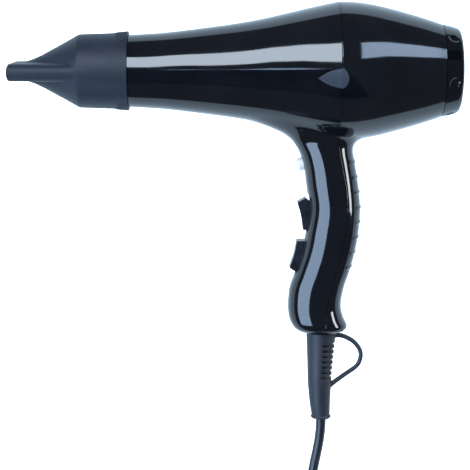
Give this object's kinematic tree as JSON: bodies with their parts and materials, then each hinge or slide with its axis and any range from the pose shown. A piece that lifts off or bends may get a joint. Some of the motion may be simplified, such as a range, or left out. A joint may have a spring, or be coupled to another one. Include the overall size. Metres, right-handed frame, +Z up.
{
  "type": "hair dryer",
  "caption": "Pistol-grip hair dryer on its side with flat nozzle, rear filter cap, two rocker switches, cool-shot button, hang loop and coiled mains cord.",
  "frame": {"origin": "under the middle of the dryer's box, cord left out, on the surface it lies on", "axes": "+X from the nozzle to the rear cap along the barrel, +Y from the handle's end to the barrel, +Z up from the table"},
  "size_m": [0.3096, 0.4515, 0.0949],
  "materials": {
    "gloss_black": "polished black housing, mirror gloss",
    "matte_black": "fine-textured black, slightly blue",
    "plug_plastic": "satin black moulded plug",
    "inlay_grey": "plain grey-blue inlay",
    "clear_white": "frosted white",
    "inner_plastic": "dark grey moulding",
    "rubber": "satin black rubber",
    "cord_jacket": "satin black cord jacket",
    "steel": "plain steel",
    "plated_pin": "nickel-plated brass",
    "brass": "sintered bearing metal",
    "copper": "copper windings and segments",
    "magnet": "ferrite and carbon",
    "mica": "mica sheet, silvery tan",
    "heat_wire": "oxidised resistance wire",
    "lead_brown": "brown insulation",
    "lead_blue": "blue insulation",
    "lead_white": "white glass-fibre sleeve"
  },
  "bodies": {
    "housing": {"front_housing": "gloss_black", "rear_housing": "gloss_black", "speed_switch": "matte_black", "heat_switch": "matte_black", "cord_tie": "matte_black", "plug_body": "plug_plastic", "badge": "inlay_grey", "fan_duct": "inner_plastic", "motor_end_bell": "inner_plastic", "cool_shot_switch": "inner_plastic", "cable_clamp": "inner_plastic", "strain_relief": "rubber", "hang_loop": "rubber", "cable_end": "rubber", "cord_run": "cord_jacket", "cord_coil": "cord_jacket", "cord_tail": "cord_jacket", "outlet_grille": "steel", "motor_can": "steel", "thermostat": "steel", "thermal_fuse": "steel", "handle_screw": "steel", "housing_screw_upper": "steel", "housing_screw_lower": "steel", "clamp_screw_upper": "steel", "clamp_screw_lower": "steel", "plug_pin_left": "plated_pin", "plug_pin_right": "plated_pin", "bearing_front": "brass", "bearing_rear": "brass", "magnet_left": "magnet", "magnet_right": "magnet", "brush_upper": "magnet", "brush_lower": "magnet", "mica_tube": "mica", "heater_frame": "mica", "heating_coil_front": "heat_wire", "heating_coil_rear": "heat_wire", "lead_live": "lead_brown", "lead_neutral": "lead_blue", "lead_heater": "lead_white"},
    "nozzle_clip": {"nozzle_clip": "steel"},
    "nozzle": {"nozzle": "matte_black"},
    "filter_cartridge": {"rear_grille": "inner_plastic", "filter_mesh": "steel"},
    "filter_cap": {"filter_cap": "gloss_black"},
    "rotor": {"motor_shaft": "steel", "fan": "inner_plastic", "armature": "copper", "commutator": "copper"},
    "speed_rocker": {"speed_rocker": "matte_black"},
    "heat_rocker": {"heat_rocker": "matte_black"},
    "cool_shot_button": {"cool_shot_button": "clear_white"}
  },
  "joints": [
    {"name": "nozzle_pull", "type": "slide", "parent": "housing", "child": "nozzle_clip", "axis": [-1, 0, 0], "range_m": [0, 0.016]},
    {"name": "nozzle_turn", "type": "hinge", "parent": "nozzle_clip", "child": "nozzle", "pos_m": [-0.08075, 0.09867, 0.04748], "axis": [1, 0, 0], "continuous": true},
    {"name": "cap_pull", "type": "slide", "parent": "housing", "child": "filter_cartridge", "axis": [1, 0, 0], "range_m": [0, 0.014]},
    {"name": "cap_twist", "type": "hinge", "parent": "filter_cartridge", "child": "filter_cap", "pos_m": [0.14925, 0.09867, 0.04748], "axis": [1, 0, 0], "range_deg": [0, 25]},
    {"name": "fan_spin", "type": "hinge", "parent": "housing", "child": "rotor", "pos_m": [0.10125, 0.09867, 0.04748], "axis": [1, 0, 0], "continuous": true},
    {"name": "speed_rock", "type": "hinge", "parent": "housing", "child": "speed_rocker", "pos_m": [0.05425, 0.00117, 0.03093], "axis": [0, 0.1673, -0.9859], "range_deg": [0, 28]},
    {"name": "heat_rock", "type": "hinge", "parent": "housing", "child": "heat_rocker", "pos_m": [0.04935, -0.02969, 0.02569], "axis": [0, -0.1673, 0.9859], "range_deg": [-14, 14]},
    {"name": "cool_shot_press", "type": "slide", "parent": "housing", "child": "cool_shot_button", "axis": [0.9686, 0.2452, 0.0416], "range_m": [0, 0.002], "stiffness_N_per_m": 600}
  ]
}
